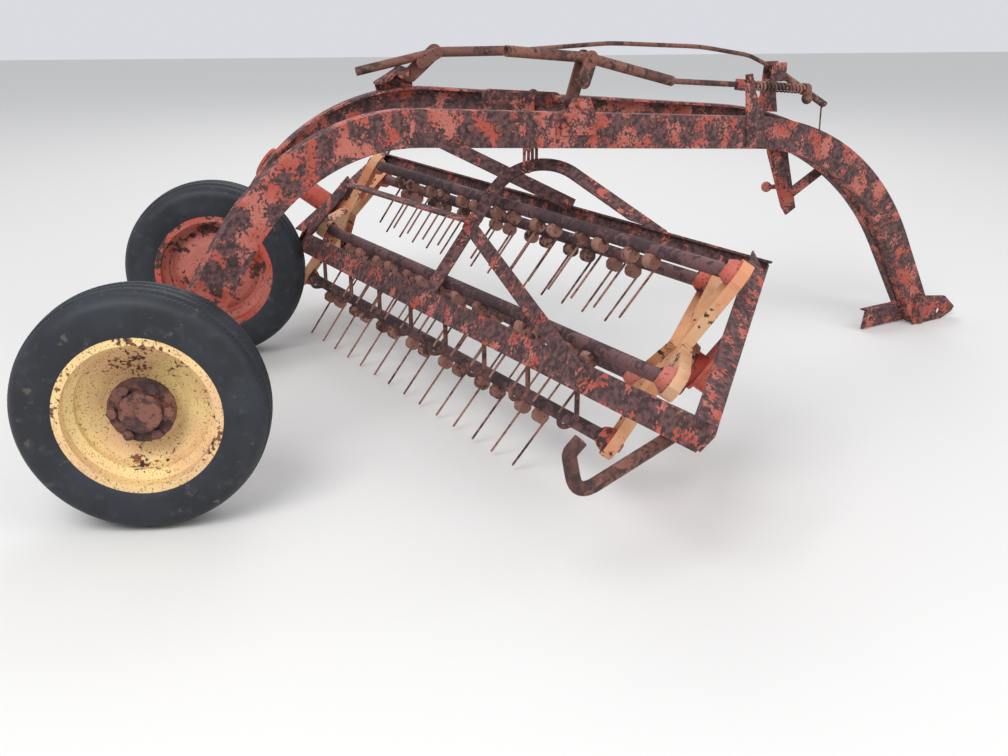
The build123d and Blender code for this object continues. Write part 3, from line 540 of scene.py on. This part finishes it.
def rod(name, corners, bend, radius, lean, bore=0.0004, sides=16):
    """A round rod along rounded corners; lean is a direction that the path never follows. Both
    ends turn in to the bore and close at bore_depth; the smallest bore makes a solid rod's end."""
    path = rounded(corners, bend)
    tangent = unit(np.gradient(path, axis=0))
    first, last = path[:1] + tangent[:1] * bore_depth, path[-1:] - tangent[-1:] * bore_depth
    radii = np.full(len(path), radius)
    radii = np.concatenate([[closed, bore, bore], radii, [bore, bore, closed]])
    path = np.concatenate([first, first, path[:1], path, path[-1:], last, last])
    tangent = np.concatenate([tangent[[0, 0, 0]], tangent, tangent[[-1, -1, -1]]])
    normal = unit(np.cross(tangent, lean))
    return skin(name, rounds(path, normal, np.cross(tangent, normal), radii, sides), round_u=False)


down = np.array([0.0, 0.0, -1.0])
sideways = unit(np.array([along[1], -along[0], 0.0]))
nut = [(0.0, closed), (0.0, 0.0118), (0.0085, 0.0118), (0.0105, 0.0095), (0.0105, closed)]
meshes = []
for run in stripper_runs:
    bend = rail_point(stripper_place, run, rail_reach, rod_bend)
    low = bend + down * rod_drop
    toe = low - sideways * rod_toe
    top = rail_point(stripper_place, run, rail_reach, rod_top)
    corners = [top, bend, low, toe, toe - down * rod_tip]
    bends = [0.008, 0.026, 0.026]
    meshes.append(rod("rod", corners, bends, rod_radius, np.cross(sideways, down)))
    seat = rail_point(stripper_place, run, rail_reach, nut_seat)
    meshes.append(turned("nut", seat, above, along, nut, 6, False))
rods = joined("stripper_rods", meshes)
rods = link(rods, "stripper_rods", "basket", rod_rust)
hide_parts("strippers")


# The pipe hook: a length of water pipe bent up at its end, clamped under the near end of the rail.
pipe_radius = 0.0165
pipe_bore = 0.013
pipe_place = rail_point(stripper_place, -0.037, 0, 0)
pipe_corners = [
    pipe_place + sideways * 0.040 + down * 0.037,
    pipe_place - sideways * 0.240 + down * 0.124,
    pipe_place - sideways * 0.262 + down * 0.018,
    pipe_place - sideways * 0.232 - down * 0.006,
]
pipe_lean = np.cross(sideways, down)
pipe = rod("bent_pipe", pipe_corners, [0.055, 0.013], pipe_radius, pipe_lean, pipe_bore, 28)
pipe = link(pipe, "bent_pipe", "basket", rod_rust)
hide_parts("pipe_hook")


# The lift springs: coils of rusty spring wire, an open one round the push bar by the right beam,
# and a slim close one by the left beam.
right_slope = 0.473
left_slope = 0.239
right_normal = unit(np.array([right_slope, -1.0, 0.0]))
left_normal = unit(np.array([-left_slope, 1.0, 0.0]))


def by_right(x, z, out):
    """A point beside the right beam: forward, up, and out from the beam's outer face."""
    return at(x, -0.575 + right_slope * x, z) + right_normal * out


def by_left(x, z, out):
    """A point beside the left beam: forward, up, and out from the beam's outer face."""
    return at(x, 0.220 + left_slope * x, z) + left_normal * out


push_eye, push_end = by_right(1.815, 0.984, -0.032), by_right(2.092, 0.952, -0.032)
push_run = unit(push_end - push_eye)
push_inset = push_run * 0.024
slim_eye, slim_end = by_left(2.030, 1.001, -0.026), by_left(2.256, 0.862, -0.026)
slim_run = unit(slim_end - slim_eye)
slim_inset = slim_run * 0.016
springs = (
    ("right", push_eye + push_inset, push_end - push_inset, push_run, 0.0170, 0.0030, 15),
    ("left", slim_eye + slim_inset, slim_end, slim_run, 0.0135, 0.0022, 40),
)
for side, start, end, run, radius, wire, turns in springs:
    level = unit(np.cross(run, (0, 0, 1)))
    reach = np.linalg.norm(end - start) - 2 * wire
    path, out, square = helix(start + run * wire, run, level, reach, radius - wire, turns)
    name = "coil_spring_" + side
    coil = skin(name, rounds(path, out, square, wire, 10), round_u=False)
    coil = link(coil, name, "frame", tooth_rust)
    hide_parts("spring_" + side)


# The braces: flat bars that steady the bail, one from the near end of the rail and one from an
# upright ear on its far end, and the link from the front rail that passes up beside the left beam.
# Each has rounded edges and is bolted at its ends.
def strip(name, start, end, face, width, gauge, over):
    """A flat bar: a rounded rectangle of twelve points, carried from start to end in four rings,
    the outer two shut to its middle. It reaches past both places by over."""
    run = unit(end - start)
    start, end = start - run * over, end + run * over
    flat = unit(face - run * (face @ run))
    wide = np.cross(flat, run)
    half, thick = width / 2, gauge / 2
    soft = 0.0015
    middle = soft * 0.3
    corner = [(half, thick - soft), (half - middle, thick - middle), (half - soft, thick)]
    corner = np.array(corner)
    signs = ((1, 1), (-1, 1), (-1, -1), (1, -1))
    outline = [(corner if a * b > 0 else corner[::-1]) * (a, b) for a, b in signs]
    outline = np.concatenate(outline)
    ring = outline[:, :1] * wide + outline[:, 1:] * flat
    path = np.stack([start, start, end, end])
    shut = np.array([0.001, 1, 1, 0.001])[:, None, None]
    return skin(name, path[:, None] + ring * shut, round_u=False, smooth=False)


bail_place = at(0.8786, 0.0155, 0.6050)
rail_face = rail_point(stripper_place, 0.273, -0.004, 0.0)
ear_foot = rail_point(stripper_place, 2.072, 0.004, 0.032)
ear_top = at(0.487, 0.6715, 0.6146)
front_place = (0.326, 0.190)
link_foot = rail_point(front_place, 0.725, -0.013, 0.040)
link_top = by_left(0.650, 0.888, -0.054)
link_face = left_normal + down * 0.5
braces = (
    ("near_brace", rail_face, bail_place + inward * -0.006, inward, 0.046, 0.007, 0.022),
    ("far_brace", ear_top, bail_place + down * -0.012, down, 0.040, 0.008, 0.016),
    ("far_ear", ear_foot, ear_top, inward, 0.062, 0.008, 0.010),
    ("thrust_link", link_foot, link_top, link_face, 0.046, 0.008, 0.018),
)
for name, start, end, face, width, gauge, over in braces:
    bar = strip(name, start, end, face, width, gauge, over)
    link(bar, name, "basket", basket_paint)


# The bolts and rivets: old square, hexagon and round heads of steel, all rusted, each on the face
# it clamps. Some go through the frame and the others through the basket.
def bolt_head(place, axis, size, sides=6):
    """A chamfered head of this size across its corners, standing on its face along the axis. It is
    sunk 0.5 mm, a third of the size high, and round where it has more than eight sides."""
    side = unit(np.cross(axis, (0.31, 0.17, 0.93)))
    half, high = size / 2, size * 0.34
    ring = [(-0.0005, closed), (-0.0005, half), (high * 0.8, half)]
    ring += [(high, size * 0.42), (high, closed)]
    return turned("head", place, axis, side, ring, sides, sides > 8)


hitch_face = by_right(2.832, 0.036, 0.010)
forward = unit(np.array([1.0, right_slope, 0.0]))
frame_heads = [
    bolt_head(hitch_face - forward * 0.118 + down * -0.027, right_normal, 0.030),
    bolt_head(hitch_face - forward * 0.112 + down * 0.020, right_normal, 0.030),
    bolt_head(by_right(0.222, 0.636, 0.0), right_normal, 0.028),
    bolt_head(by_right(0.179, 0.563, 0.0), right_normal, 0.028),
    bolt_head(by_right(0.867, 0.922, 0.0), right_normal, 0.024, 16),
    bolt_head(by_right(0.952, 0.915, 0.0), right_normal, 0.024, 16),
    bolt_head(by_left(2.325, 0.626, -0.005), -left_normal, 0.024),
]
link(joined("frame_bolts", frame_heads), "frame_bolts", "frame", rod_rust)
basket_heads = [
    bolt_head(rail_point(stripper_place, 0.273, -0.0075, 0.0), -inward, 0.030, 4),
    bolt_head(ear_top - inward * 0.004, -inward, 0.026),
]
link(joined("basket_bolts", basket_heads), "basket_bolts", "basket", rod_rust)

low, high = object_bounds()
